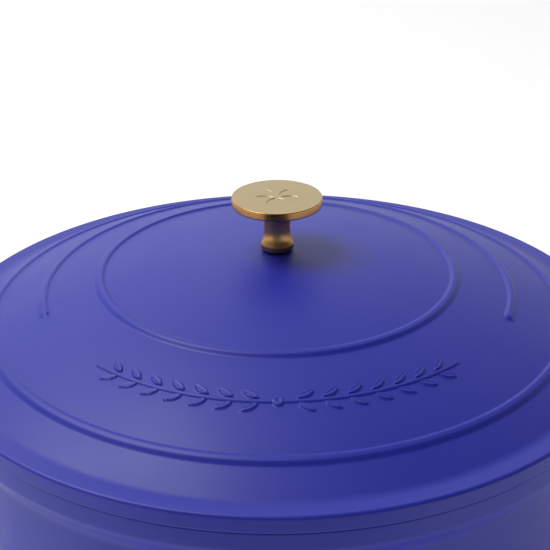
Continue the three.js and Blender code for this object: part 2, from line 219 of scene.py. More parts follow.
def smooth(mesh):
    """Shades a mesh smooth, except across edges sharper than SHARP_DEG."""
    mesh.polygons.foreach_set("use_smooth", np.ones(len(mesh.polygons), bool))
    mesh.set_sharp_from_angle(angle=math.radians(SHARP_DEG))


def placed(name, mesh):
    """An object in the scene that holds a mesh."""
    piece = bpy.data.objects.new(name, mesh)
    bpy.context.scene.collection.objects.link(piece)
    return piece


def make_object(name, shells):
    """One mesh object from closed shells, in metres, shaded smooth with crisp hard edges."""
    points, faces, kinds, start = [], [], [], 0
    for shell in shells:
        points.append(shell.points)
        faces += [[corner + start for corner in face] for face in shell.faces]
        kinds += list(shell.finish)
        start += len(shell.points)
    mesh = bpy.data.meshes.new(name)
    mesh.from_pydata((np.vstack(points) / 1000).tolist(), [], faces)
    mesh.polygons.foreach_set("material_index", np.array(kinds, np.int32))
    tidy = bmesh.new()
    tidy.from_mesh(mesh)
    bmesh.ops.recalc_face_normals(tidy, faces=tidy.faces)
    tidy.to_mesh(mesh)
    tidy.free()
    smooth(mesh)
    return placed(name, mesh)


def report(piece):
    size = np.array(piece.dimensions) * 1000
    print(f"{piece.name}: {len(piece.data.polygons)} faces, {size.round(1)} mm")


test_skin = skin(turned(corner_test, evenly(12)), loop=False)
print(len(test_skin.faces), "faces on the test profile, turned with 12 columns")

# %% [markdown]
# ## The lid's outside
#
# The lid is a shallow dome of 300 mm radius that runs through a small hollow fillet into a flat
# flange. It could be a drawn profile like the other pieces. But the relief on it has to be lifted
# from this plain height point by point, so here the height is a function of the radius.

# %% Height of the plain lid
def dome(radius, inset=0.0):
    return DOME_CENTRE + np.sqrt((DOME_RADIUS - inset) ** 2 - np.asarray(radius) ** 2)


FILLET = 8.0
FILLET_Z = FLANGE_TOP + FILLET
FILLET_R = math.sqrt((DOME_RADIUS + FILLET) ** 2 - (FILLET_Z - DOME_CENTRE) ** 2)
FILLET_START = FILLET_R * DOME_RADIUS / (DOME_RADIUS + FILLET)


def plain_lid(radius):
    """Flat under the knob, then the dome, the hollow fillet and the flat flange."""
    hollow = FILLET_Z - np.sqrt(np.maximum(FILLET**2 - (radius - FILLET_R) ** 2, 0))
    height = np.where(radius < FILLET_START, dome(np.minimum(radius, DOME_EDGE)), hollow)
    height = np.where(radius > FILLET_R, FLANGE_TOP, height)
    return np.minimum(height, KNOB_SEAT)


print(f"the hollow fillet runs from {FILLET_START:.1f} to {FILLET_R:.1f} mm")

# %% [markdown]
# ## The lid's relief
#
# Three raised rings lie on the dome. The middle one stops short on both sides of the front and
# leaves room for a leaf sprig, cast in low relief. The sprig could be modelled leaf by leaf and
# joined on. A height map in geometry is simpler and gives the soft foot that enamel always leaves:
# for each point of the dome we ask how far inside a ring, a stem or a leaf it is, and lift it.
#
# A leaf is the overlap of two equal circles, so its outline needs only its length and half width.

# %% Relief: rings, stem, bud and leaves
OUTER_RING, MIDDLE_RING, INNER_RING = DOME_EDGE - 15.6, DOME_EDGE - 39.2, DOME_EDGE - 64
RING_HALF, RING_FLANK, RING_HEIGHT = 2.6, 2.0, 1.15
MIDDLE_LEFT_END, MIDDLE_RIGHT_END = math.radians(-74.8), math.radians(71.5)

SPRIG_RADIUS = MIDDLE_RING - 1.3
SPRIG_SPAN = math.radians(44.5)
SPRIG_RELIEF = 0.8
STEM_HALF, STEM_SHARE = 0.7, 0.75  # the stem is three quarters as high as the leaves
LEAF_LENGTH, LEAF_HALF, LEAF_GAP = 7.6, 1.5, 0.5
LEAF_PITCH, LEAF_LEAN = math.radians(5.6), math.radians(30)
LEAF_PAIRS, FIRST_PAIR = 7, 0.75  # on each side; the first pair is 0.75 of a pitch from the front
VEIN_DEPTH, VEIN_HALF, VEIN_FADE = 0.3, 0.3, 2
BUD_RADIUS, DIMPLE_DEPTH, DIMPLE_RADIUS = 2.2, 0.45, 0.8
SOFT_EDGE = 0.42


def step_up(inside, width=SOFT_EDGE):
    """0 outside an outline and 1 well inside it, with a soft foot and a soft brow."""
    share = np.clip(inside / width, 0, 1)
    return share * share * (3 - 2 * share)


def ring_relief(radius, azimuth):
    """Raised rings with a flat top and steep soft flanks. The middle one has two round ends."""
    height = np.zeros(np.broadcast(radius, azimuth).shape)
    past_end = np.minimum(azimuth - MIDDLE_LEFT_END, MIDDLE_RIGHT_END - azimuth)
    past_end = np.maximum(past_end, 0) * MIDDLE_RING
    away = [
        np.abs(radius - OUTER_RING),
        np.hypot(radius - MIDDLE_RING, past_end),
        np.abs(radius - INNER_RING),
    ]
    for distance in away:
        height = np.maximum(height, RING_HEIGHT * step_up(RING_HALF - distance, RING_FLANK))
    return height


def sprig_relief(radius, azimuth):
    """The stem along an arc, the bud at the front, and leaves in pairs on both sides of it."""
    stretch = 1 / math.sqrt(1 - (SPRIG_RADIUS / DOME_RADIUS) ** 2)
    past_end = np.maximum(np.abs(azimuth) - SPRIG_SPAN, 0) * SPRIG_RADIUS
    off_stem = np.hypot((SPRIG_RADIUS - radius) * stretch, past_end)
    height = STEM_SHARE * SPRIG_RELIEF * step_up(STEM_HALF + SOFT_EDGE / 2 - off_stem)

    bow = (LEAF_LENGTH**2 / 4 + LEAF_HALF**2) / (2 * LEAF_HALF)
    for side in (-1, 1):
        for pair in range(LEAF_PAIRS):
            place = side * LEAF_PITCH * (pair + FIRST_PAIR)
            along = radius * np.sin(azimuth - place)
            up = (SPRIG_RADIUS - radius * np.cos(azimuth - place)) * stretch
            for lean in (-1, 1):
                foot = lean * (STEM_HALF + LEAF_GAP)
                heading = LEAF_LEAN * lean if side > 0 else math.pi - LEAF_LEAN * lean
                x = along * math.cos(heading) + (up - foot) * math.sin(heading)
                y = (up - foot) * math.cos(heading) - along * math.sin(heading)
                far = np.hypot(x - LEAF_LENGTH / 2, np.abs(y) + bow - LEAF_HALF)
                leaf = step_up(bow - far + SOFT_EDGE / 3)
                vein = np.exp(-((y / VEIN_HALF) ** 2)) * np.clip(x / VEIN_FADE, 0, 1)
                leaf = leaf * (1 - VEIN_DEPTH * vein)
                height = np.maximum(height, SPRIG_RELIEF * leaf)

    off_bud = np.hypot(radius * np.sin(azimuth), SPRIG_RADIUS - radius * np.cos(azimuth))
    bud = step_up(BUD_RADIUS + SOFT_EDGE / 3 - off_bud)
    dimple = DIMPLE_DEPTH * np.exp(-((off_bud / DIMPLE_RADIUS) ** 2))
    return np.maximum(height, SPRIG_RELIEF * bud * (1 - dimple))


print("rings at", [round(r, 1) for r in (OUTER_RING, MIDDLE_RING, INNER_RING)], "mm")

# %% [markdown]
# ## The lid's grid
#
# The grid is only fine where there is relief. Columns are 0.2 degrees apart across the sprig,
# which is a third of a millimetre there, 0.4 degrees where the middle ring ends, and 1.5 degrees
# elsewhere. Rows are close together on the rings and the sprig. The underside is a drawn profile:
# seat, locating skirt, ceiling, and the boss that the screw pulls against.

# %% Build the lid
def runs(*spans):
    """Joins spans of (start, stop, step) into one rising list without repeats."""
    parts = [
        np.linspace(start, stop, max(1, round((stop - start) / step)), endpoint=False)
        for start, stop, step in spans
    ]
    return np.concatenate(parts + [[spans[-1][1]]])


half_turn = runs((0, 46, 0.2), (46, 68, 1.5), (68, 78, 0.4), (78, 180, 1.5))
lid_azimuth = np.radians(np.concatenate([-half_turn[:0:-1], half_turn[:-1]]))

RING_ROWS, SPRIG_ROWS = 3.0, 7.3  # the fine rows reach this far to each side
inner_near, inner_far = INNER_RING - RING_ROWS, INNER_RING + RING_ROWS
sprig_near, sprig_far = SPRIG_RADIUS - SPRIG_ROWS, SPRIG_RADIUS + SPRIG_ROWS
outer_near, outer_far = OUTER_RING - RING_ROWS, OUTER_RING + RING_ROWS
lid_radii = runs(
    (SCREW_HOLE + 0.4, FLAT_RADIUS, 1.2), (FLAT_RADIUS, inner_near, 3.2),
    (inner_near, inner_far, 0.3), (inner_far, sprig_near, 3.0),
    (sprig_near, sprig_far, 0.36), (sprig_far, outer_near, 3.0),
    (outer_near, outer_far, 0.3), (outer_far, FILLET_START - 0.4, 2.4),
    (FILLET_START - 0.4, FILLET_R + 0.4, 0.4), (FILLET_R + 0.4, LID_RADIUS - 1.5, 1.5),
)
top = turned(np.stack([lid_radii, plain_lid(lid_radii)], 1), lid_azimuth)
lift_r, lift_a = lid_radii[:, None], lid_azimuth[None, :]
top[:, :, 2] += np.maximum(ring_relief(lift_r, lift_a), sprig_relief(lift_r, lift_a))

SKIRT_GAP, SKIRT_WALL, SKIRT_DEPTH = 1.4, 4.6, 5
SKIRT_OUTER = BORE_RADIUS - SKIRT_GAP
SKIRT_INNER = SKIRT_OUTER - SKIRT_WALL
SKIRT_BOTTOM = LID_SEAT - SKIRT_DEPTH
LID_WALL = 3.4
BOSS_RADIUS, BOSS_DROP = 14, 2.6
BOSS_BOTTOM = KNOB_SEAT - LID_WALL - BOSS_DROP
ceiling_radii = np.linspace(SKIRT_INNER, BOSS_RADIUS + BOSS_DROP, 16)
ceiling = [(r, float(dome(r, LID_WALL)), 0) for r in ceiling_radii[1:]]
underside = rounded([
    (LID_RADIUS - 1.9, FLANGE_TOP, 0),
    (LID_RADIUS, FLANGE_TOP, 1.5),
    (LID_RADIUS, LID_SEAT, 0.9),
    (SKIRT_OUTER, LID_SEAT, 0.6),
    (SKIRT_OUTER, SKIRT_BOTTOM, 1.2),
    (SKIRT_INNER, SKIRT_BOTTOM, 1.2),
    (SKIRT_INNER, float(dome(SKIRT_INNER, LID_WALL)), 2.5),
    *ceiling,
    (BOSS_RADIUS, BOSS_BOTTOM, 0.8),
    (SCREW_HOLE, BOSS_BOTTOM, 0.3),
    (SCREW_HOLE, KNOB_SEAT, 0.3),
    (SCREW_HOLE + 0.5, KNOB_SEAT, 0),
])
underside = held(underside)[1:-1]
lid_rows = np.concatenate([top, turned(underside, lid_azimuth)])
blue, black = 0, 1  # finish numbers of the two enamels
seat_row = len(top) + int(np.argmax(underside[:, 1] < LID_SEAT + 0.05))
lid_finish = [blue if row < seat_row else black for row in range(len(lid_rows))]
lid_shell = skin(lid_rows, loop=True, finish=lid_finish)
print("lid grid:", lid_rows.shape[0], "rows by", lid_rows.shape[1], "columns")

# %% [markdown]
# ## Basting nubs
#
# Under the dome are small cast points in three rings. Steam condenses on them and drips back on
# the food. Each is a little rounded cone with a flared foot, a closed shell that runs into the
# ceiling. There are few of them, so plain turned shells are simpler than another height map.

# %% Add the nubs
NUB_RADIUS, NUB_HEIGHT = 3.2, 2.4
NUB_RINGS, NUB_RING_PITCH, NUB_FIRST_INSET, NUB_SPACING = 3, 29, 20, 58
NUB_TURN = 0.2  # a share of the spacing, so that no nub lies right on an axis
nubs = []
for ring in range(NUB_RINGS):
    radius = SKIRT_INNER - NUB_FIRST_INSET - ring * NUB_RING_PITCH
    count = max(3, round(2 * math.pi * radius / NUB_SPACING))
    root = float(dome(radius, LID_WALL))
    profile = rounded([
        (0.05, root - NUB_HEIGHT, 0),
        (NUB_RADIUS * 0.5, root - NUB_HEIGHT, 0.7),
        (NUB_RADIUS * 0.95, root, 1.6),
        (NUB_RADIUS * 1.7, root + 0.5, 0),
        (NUB_RADIUS * 1.7, root + 1.2, 0),
        (0.05, root + 1.6, 0),
    ])
    nub = skin(turned(profile, evenly(32)), loop=False, finish=[black] * (len(profile) - 1))
    for i in range(count):
        angle = 2 * math.pi * (i + NUB_TURN + ring / NUB_RINGS) / count
        nubs.append(moved(nub, (radius * math.cos(angle), radius * math.sin(angle), 0)))

lid_piece = make_object("enamelled_lid", [lid_shell] + nubs)
report(lid_piece)

# %% [markdown]
# ## The pot
#
# The pot's wall leans in a little towards the floor, so that the sand pattern could be drawn out
# of its mould. The rim is thickened outwards into a bead, ground flat on top. A low foot ring
# lifts the middle of the floor. All of that is one profile, turned with 240 columns.

# %% The pot's profile
DRAFT = math.tan(math.radians(3))
POT_WALL, POT_FLOOR = 3.6, 4.5
FOOT_RISE, FOOT_WIDTH, FOOT_LAND = 1.0, 16, 14.6
FLOOR_TOP = FOOT_RISE + POT_FLOOR
OUTER_CORNER, INNER_CORNER = 29, 26
BEAD_HEIGHT, BEAD_BLEND = 9, 8  # the bead, and the height over which it grows out of the wall


def wall_inside(height):
    return BORE_RADIUS - (POT_HEIGHT - height) * DRAFT


wall_start = OUTER_CORNER - 0.5  # height at which the corner's arc meets the leaning wall
foot_outer = wall_inside(wall_start) + POT_WALL - OUTER_CORNER
corner_z = FOOT_RISE + OUTER_CORNER
corner_arc = [
    (foot_outer + OUTER_CORNER * math.cos(a), corner_z + OUTER_CORNER * math.sin(a), 0)
    for a in np.radians(np.linspace(-84, -3, 15))
]
bead_start = POT_HEIGHT - BEAD_HEIGHT - BEAD_BLEND
pot_path = rounded([
    (0.3, FOOT_RISE, 0),
    (foot_outer - FOOT_WIDTH, FOOT_RISE, 1.2),
    (foot_outer - FOOT_LAND, 0, 0.7),
    (foot_outer + 0.6, 0, 1.6),
    *corner_arc,
    (wall_inside(bead_start) + POT_WALL, bead_start, 9),
    (RIM_RADIUS, POT_HEIGHT - BEAD_HEIGHT, 5),
    (RIM_RADIUS, POT_HEIGHT, 1.3),
    (BORE_RADIUS, POT_HEIGHT, 1.2),
    (wall_inside(FLOOR_TOP), FLOOR_TOP, INNER_CORNER),
    (0.3, FLOOR_TOP, 0),
], arc_deg=6)
pot_path = held(pot_path)
foot_row = int(np.argmax(pot_path[:, 0] > foot_outer + 0.4))
rim_row = int(np.argmax(pot_path[:, 1] > POT_HEIGHT - 0.35))
pot_finish = [
    blue if foot_row <= row < rim_row else black for row in range(len(pot_path) - 1)
]
pot_shell = skin(turned(pot_path, evenly(240)), loop=False, finish=pot_finish)
print(f"foot ring from {foot_outer - FOOT_LAND:.0f} to {foot_outer:.0f} mm from the centre")

# %% [markdown]
# ## Loop handles
#
# Each handle is cast with the pot: a thick rounded plate with a slot for the fingers, which
# spreads out where it meets the wall. It could be cut from a block, but a ring of cross-sections
# round the slot gives better control. First comes the plan: the outer edge and the slot's edge,
# each with the same number of points, so that each pair of points spans one section.

# %% Plan of a handle
HANDLE_Z = POT_HEIGHT - 21
ROOT_HALF, TIP_HALF = 55, 45
GRIP_REACH, GRIP_WIDTH = 35, 12
SLOT_WIDTH, SLOT_HALF = 17, 31
GRIP_OUTER = RIM_RADIUS + GRIP_REACH
SLOT_OUTER = GRIP_OUTER - GRIP_WIDTH
SLOT_INNER = SLOT_OUTER - SLOT_WIDTH
WALL_OUTER = wall_inside(HANDLE_Z) + POT_WALL
BURIED = WALL_OUTER - 1.6  # the root goes this deep, so that the union finds an overlap


def resampled(path, count):
    """count points evenly along a path, without its last one."""
    steps = np.concatenate([[0], np.cumsum(np.linalg.norm(np.diff(path, axis=0), axis=1))])
    at = np.linspace(0, steps[-1], count, endpoint=False)
    return np.stack([np.interp(at, steps, path[:, k]) for k in (0, 1)], 1)


def on_circle(radius, y):
    return math.sqrt(radius**2 - y**2)


flare_half = ROOT_HALF + 9
root_arc = np.array([(on_circle(BURIED, y), y) for y in np.linspace(0, flare_half, 40)])
side_path = rounded([
    (on_circle(BURIED, flare_half), flare_half, 0),
    (on_circle(WALL_OUTER, ROOT_HALF), ROOT_HALF - 1, 9),
    (GRIP_OUTER, TIP_HALF, 15),
    (GRIP_OUTER, 0, 0),
], arc_deg=4)
slot_path = rounded([
    (SLOT_INNER, 0, 0), (SLOT_INNER, SLOT_HALF, 7), (SLOT_OUTER, SLOT_HALF, 7), (SLOT_OUTER, 0, 0),
], arc_deg=4)

# Matching runs of the two outlines: along the root, round the side, round the grip. A run ends
# this far before the line that the next one follows.
BEFORE_GRIP, BEFORE_SLOT_SIDE, BEFORE_SLOT_GRIP = 12, 3, 6
grip_start = int(np.argmax(side_path[:, 0] > GRIP_OUTER - BEFORE_GRIP))
slot_turn = int(np.argmax(slot_path[:, 1] > SLOT_HALF - BEFORE_SLOT_SIDE))
slot_grip = int(np.argmax(slot_path[:, 0] > SLOT_OUTER - BEFORE_SLOT_GRIP))
matches = [
    (root_arc, slot_path[: slot_turn + 1], 44),
    (side_path[: grip_start + 1], slot_path[slot_turn : slot_grip + 1], 44),
    (side_path[grip_start:], slot_path[slot_grip:], 52),
]
outer = np.concatenate([resampled(a, n) for a, _, n in matches] + [side_path[-1:]])
inner = np.concatenate([resampled(b, n) for _, b, n in matches] + [slot_path[-1:]])
mirror = np.array([1, -1])
outer = np.concatenate([outer, (outer * mirror)[-2:0:-1]])
inner = np.concatenate([inner, (inner * mirror)[-2:0:-1]])
print(len(outer), "sections round a handle")

# %% [markdown]
# Every section is a rounded bar between the slot's edge and the outer edge. It gets thicker close
# to the wall, which makes the hollow fillet of a real casting, and the whole handle tilts up by
# four degrees, so that a cloth doesn't slip off.

# %% Sections of a handle
HANDLE_HALF_THICK, HANDLE_ROUND, FLARE = 5.5, 3.0, 4.5
HANDLE_TILT = math.radians(4)


def handle_rows():
    """Rows round the section, columns round the slot, for the handle at +X."""
    bar = np.linalg.norm(outer - inner, axis=1)
    ways = (outer - inner) / bar[:, None]
    arc = np.radians(np.linspace(0, 90, 7))
    out_in = HANDLE_ROUND * (1 - np.cos(arc))
    rise = HANDLE_HALF_THICK - HANDLE_ROUND + HANDLE_ROUND * np.sin(arc)
    flat = (1 - np.cos(np.pi * np.arange(1, 18) / 18)) / 2
    section = []
    for offset, height in zip(out_in, rise):
        section.append((offset + 0 * bar, height))
    for share in flat:
        section.append((HANDLE_ROUND + share * (bar - 2 * HANDLE_ROUND), HANDLE_HALF_THICK))
    for offset, height in zip(out_in[::-1], rise[::-1]):
        section.append((bar - offset, height))
    section += [(along, -height) for along, height in section[::-1]]
    rows = np.zeros((len(section), len(bar), 3))
    for row, (along, height) in enumerate(section):
        plan = inner + ways * along[:, None]
        gap = np.maximum(np.hypot(plan[:, 0], plan[:, 1]) - WALL_OUTER, 0.25)
        near = np.maximum(FLARE - gap, 0)
        flare = FLARE - np.sqrt(FLARE**2 - near**2)
        z = height * (1 + flare / HANDLE_HALF_THICK)
        out = plan[:, 0] - RIM_RADIUS
        rows[row, :, 0] = RIM_RADIUS + out * math.cos(HANDLE_TILT) - z * math.sin(HANDLE_TILT)
        rows[row, :, 1] = plan[:, 1]
        rows[row, :, 2] = HANDLE_Z + z * math.cos(HANDLE_TILT) + out * math.sin(HANDLE_TILT)
    return rows


right_rows = handle_rows()
left_rows = right_rows * np.array([-1, -1, 1])
handles = [skin(right_rows, loop=True), skin(left_rows, loop=True)]
print(f"handles reach {right_rows[:, :, 0].max():.1f} mm; the frame says {HANDLE_REACH:.1f} mm")

# %% [markdown]
# The pot and its handles overlap inside the wall, and a boolean union makes them one casting, as
# they are in iron. The union keeps each face's finish.

# %% Join the pot and its handles
def combined(name, operation, base, others):
    """A boolean of closed objects, applied to the mesh, with the helpers removed."""
    for other in others:
        step = base.modifiers.new("step", "BOOLEAN")
        step.operation, step.solver, step.object = operation, "MANIFOLD", other
    depsgraph = bpy.context.evaluated_depsgraph_get()
    mesh = bpy.data.meshes.new_from_object(base.evaluated_get(depsgraph))
    for unused in [base] + others:
        bpy.data.objects.remove(unused)
    mesh.name = name
    smooth(mesh)
    return placed(name, mesh)


pot_piece = combined(
    "enamelled_pot", "UNION",
    make_object("pot_turned", [pot_shell]),
    [make_object("handle_right", handles[:1]), make_object("handle_left", handles[1:])],
)
report(pot_piece)

# %% [markdown]
# ## The knob
#
# The knob is two turned pieces: a waisted stem and a flat disc on top of it. The stem stands on a
# narrow foot band and narrows to its waist, then widens again under the disc. Each half of it is a
# hollow curve that turns outwards ever faster towards its wide end, so one power of the distance
# draws both. A blind hole takes the screw, and a spigot on top goes into the disc.

# %% The stem
WAIST_RADIUS, FOOT_RADIUS, NECK_RADIUS = 5.6, 7.0, 7.5
WAIST_Z = KNOB_SEAT + 11.5
WAIST_POWER = 2.6
BAND_TOP = stem_low[2] + 2.3
STEM_TOP = disc_low[2] - REST_GAP
SPIGOT_RADIUS = 3.5
HOLE_DEPTH, HOLE_TIP = 9.0, 1.5


def hollow_curve(wide_z, wide_radius, steps=24):
    """From a wide end to the waist, as (radius, height, 0) corners."""
    share = np.linspace(0, 1, steps + 1)
    radius = WAIST_RADIUS + (wide_radius - WAIST_RADIUS) * (1 - share) ** WAIST_POWER
    return [(float(r), float(wide_z + (WAIST_Z - wide_z) * t), 0) for r, t in zip(radius, share)]


stem_path = rounded([
    (0.05, stem_low[2] + HOLE_DEPTH + HOLE_TIP, 0),
    (SCREW_HOLE, stem_low[2] + HOLE_DEPTH, 0),
    (SCREW_HOLE, stem_low[2], 0.2),
    (FOOT_RADIUS, stem_low[2], 0.4),
    (FOOT_RADIUS, BAND_TOP, 0.12),
    *hollow_curve(BAND_TOP, FOOT_RADIUS)[1:],
    *hollow_curve(STEM_TOP, NECK_RADIUS)[-2:0:-1],
    (NECK_RADIUS, STEM_TOP, 0.1),
    (SPIGOT_RADIUS, STEM_TOP, 0.1),
    (SPIGOT_RADIUS, stem_high[2], 0.2),
    (0.05, stem_high[2], 0),
])
stem_piece = make_object("knob_turned_stem", [skin(turned(held(stem_path), evenly(144)), False)])
report(stem_piece)

# %% [markdown]
# The disc has crisp edges, broken by a third of a millimetre so that they don't cut a finger, and
# that narrow edge is what catches the light. Its top has a rosette of six petals, pressed in a
# quarter of a millimetre: a height map again, on a grid that is fine in the middle.

# %% The disc
DISC_RADIUS = (disc_high[0] - disc_low[0]) / 2
DISC_BOTTOM, DISC_TOP = disc_low[2], disc_high[2]
DISC_EDGE = 0.35
DISC_HOLE, DISC_HOLE_DEPTH = SPIGOT_RADIUS + 0.3, 2.0
PETALS, PETAL_START, PETAL_LENGTH, PETAL_HALF, PETAL_DEPTH = 6, 1.6, 7.6, 1.15, 0.25
PETAL_FLANK = 0.3
ROSETTE_EDGE = 9.8


def rosette(radius, azimuth):
    """How deep the pressed petals are at a point of the disc's top."""
    pitch = 2 * math.pi / PETALS
    turn = (azimuth + math.pi / 2 + pitch / 2) % pitch - pitch / 2 + 0 * radius
    x, y = radius * np.cos(turn) - PETAL_START, radius * np.sin(turn)
    bow = (PETAL_LENGTH**2 / 4 + PETAL_HALF**2) / (2 * PETAL_HALF)
    far = np.hypot(x - PETAL_LENGTH / 2, np.abs(y) + bow - PETAL_HALF)
    return PETAL_DEPTH * step_up(bow - far, PETAL_FLANK)


plain_edge = DISC_RADIUS - DISC_EDGE - 0.3
disc_radii = runs((0.2, ROSETTE_EDGE, 0.16), (ROSETTE_EDGE, plain_edge, 1.1))[::-1]
disc_azimuth = evenly(360)
disc_top = turned(np.stack([disc_radii, 0 * disc_radii + DISC_TOP], 1), disc_azimuth)
disc_top[:, :, 2] -= rosette(disc_radii[:, None], disc_azimuth[None, :])
disc_side = held(rounded([
    (0.05, DISC_BOTTOM + DISC_HOLE_DEPTH, 0),
    (DISC_HOLE, DISC_BOTTOM + DISC_HOLE_DEPTH, 0),
    (DISC_HOLE, DISC_BOTTOM, 0.2),
    (DISC_RADIUS, DISC_BOTTOM, DISC_EDGE),
    (DISC_RADIUS, DISC_TOP, DISC_EDGE),
    (DISC_RADIUS - DISC_EDGE - 0.1, DISC_TOP, 0),
], arc_deg=12))
disc_rows = np.concatenate([turned(disc_side, disc_azimuth), disc_top])
polished, brushed = 0, 1  # finish numbers of the side and the top
side_strips = len(disc_side) - 1
disc_finish = [
    polished if row < side_strips else brushed for row in range(len(disc_rows) - 1)
]
disc_piece = make_object("knob_brushed_disc", [skin(disc_rows, False, disc_finish)])
report(disc_piece)

# %% [markdown]
# ## Seal, washers and screw
#
# A thin black rubber ring keeps the knob's foot off the enamel. Below the lid are a flat washer,
# a spring washer and a slotted pan-head screw. The rubber ring and the flat washer are both plain
# rings with broken edges, so one function turns both, each in its node's box.

# %% Rubber ring and flat washer
def flat_ring(name, low, high, hole, edge):
    """A ring of rectangular section with broken edges, in its node's box."""
    outer_radius = (high[0] - low[0]) / 2
    path = rounded([
        (hole, low[2], edge), (outer_radius, low[2], edge),
        (outer_radius, high[2], edge), (hole, high[2], edge),
    ], closed=True, arc_deg=15)
    return make_object(name, [skin(turned(held(path, True, 0.1), evenly(96)), loop=True)])


gasket_piece = flat_ring("rubber_seal", gasket_low, gasket_high, SCREW_HOLE, 0.15)
flat_piece = flat_ring("flat_washer_ring", flat_low, flat_high, SCREW_HOLE, 0.2)
report(gasket_piece)
report(flat_piece)

# %% [markdown]
# The spring washer is a square bar, bent round most of a turn and cut at a slant. A ring could be
# cut open with a boolean, but sweeping the bar's section round the open turn is cleaner.

# %% Spring washer
SPLIT_HALF, SPLIT_SLANT = 0.6, math.tan(math.radians(25))


def spring_washer():
    """A rounded square bar round an open turn. Its two ends are cut at a slant."""
    bottom, top_z = lock_low[2], lock_high[2]
    outer_radius = (lock_high[0] - lock_low[0]) / 2
    bar = rounded([
        (SCREW_HOLE, bottom, 0.15), (outer_radius, bottom, 0.15),
        (outer_radius, top_z, 0.15), (SCREW_HOLE, top_z, 0.15),
    ], closed=True, arc_deg=15)
    middle = (bottom + top_z) / 2
    half_gap = math.asin(SPLIT_HALF / ((SCREW_HOLE + outer_radius) / 2))
    lean = SPLIT_SLANT * (bar[:, 1] - middle) / bar[:, 0]
    rows = []
    for share in np.linspace(0, 1, 90):
        azimuth = math.pi + half_gap + (2 * math.pi - 2 * half_gap) * share - lean
        rows.append(np.stack(
            [bar[:, 0] * np.sin(azimuth), -bar[:, 0] * np.cos(azimuth), bar[:, 1]], 1
        ))
    return skin(np.array(rows), loop=False)


lock_piece = make_object("spring_washer_ring", [spring_washer()])
report(lock_piece)

# %% [markdown]
# The screw is turned like the knob, and its slot is cut out with a boolean, as a slitting saw
# does. Its thread is hidden in the stem, so the shank is plain.

# %% Screw
HEAD_HEIGHT, SHANK_RADIUS = 3.4, 3.0
SLOT_DEPTH, SAW_HALF, SAW_REACH = 1.6, 0.8, 8
head_radius = (screw_high[0] - screw_low[0]) / 2
head_bottom, head_top = screw_low[2], screw_low[2] + HEAD_HEIGHT
screw_path = held(rounded([
    (0.05, head_bottom, 0),
    (head_radius * 0.62, head_bottom, 2.0),
    (head_radius, head_bottom + 2.1, 0.6),
    (head_radius, head_top, 0.25),
    (SHANK_RADIUS, head_top, 0.2),
    (SHANK_RADIUS, screw_high[2] - 1.0, 0.2),
    (SHANK_RADIUS - 1.0, screw_high[2], 0.2),
    (0.05, screw_high[2], 0),
]))
screw_body = make_object("screw_turned", [skin(turned(screw_path, evenly(96)), False)])
saw_x = SAW_REACH * np.array([-1, 1, 1, -1])
saw_y = SAW_HALF * np.array([-1, -1, 1, 1])
slot_rows = np.array([
    np.stack([saw_x, saw_y, np.full(4, head_bottom + z)], 1) for z in (-SLOT_DEPTH, SLOT_DEPTH)
])
slot_tool = make_object("slitting_saw", [skin(slot_rows, loop=False)])
screw_piece = combined("slotted_screw", "DIFFERENCE", screw_body, [slot_tool])
report(screw_piece)

# %% [markdown]
# ## Material tools
#
# Colours are written as the hex values that a screen shows, and one function turns them into the
# linear numbers that light works with. One other small function adds a node with its settings and
# its links, so each material below reads as a short list of what is wired to what. It gets help
# from connect, which the shader of each material also uses, once all that feeds it is there.

# %% Colour and node helpers
def linear(hex_colour):
    """sRGB hex to linear RGBA."""
    channels = [int(hex_colour[k : k + 2], 16) / 255 for k in (1, 3, 5)]
    curve = [c / 12.92 if c <= 0.04045 else ((c + 0.055) / 1.055) ** 2.4 for c in channels]
    return (*curve, 1.0)


def connect(tree, node, links):
    """Gives each of a node's inputs in links a value, or links it to another node's output."""
    for name, value in links.items():
        if isinstance(value, bpy.types.NodeSocket):
            tree.links.new(value, node.inputs[name])
        else:
            node.inputs[name].default_value = value


def add(tree, kind, links=None, **settings):
    """Adds a node. settings are its own properties; links maps an input to a value or output."""
    node = tree.nodes.new(kind)
    for name, value in settings.items():
        setattr(node, name, value)
    connect(tree, node, links or {})
    return node


def new_material(name):
    """An empty material: its node tree and its Principled shader."""
    material = bpy.data.materials.new(name)
    material.use_nodes = True
    tree = material.node_tree
    tree.nodes.clear()
    shader = add(tree, "ShaderNodeBsdfPrincipled")
    add(tree, "ShaderNodeOutputMaterial", {"Surface": shader.outputs["BSDF"]})
    return material, tree, shader


def per_mm(size_mm):
    """A texture's Scale for features of that size, with coordinates in metres."""
    return 1000 / size_mm


def describe(*materials):
    for material in materials:
        print(material.name, "has", len(material.node_tree.nodes), "nodes")


print("mid grey #808080 is", round(linear("#808080")[0], 3), "in linear light")

# %% [markdown]
# ## Satin blue enamel
#
# Vitreous enamel is coloured glass, sprayed on as a wet powder and fired. A satin one is slightly
# crystalline, so its gloss is wide and soft and the blue stays deep. Close up the surface isn't
# dead flat: the spray leaves a very fine orange peel about 2 mm across, the firing leaves slow
# waves, and the gloss varies a little from place to place. The colour shifts by a few per cent
# with the coat's thickness, and there are tiny darker grains.

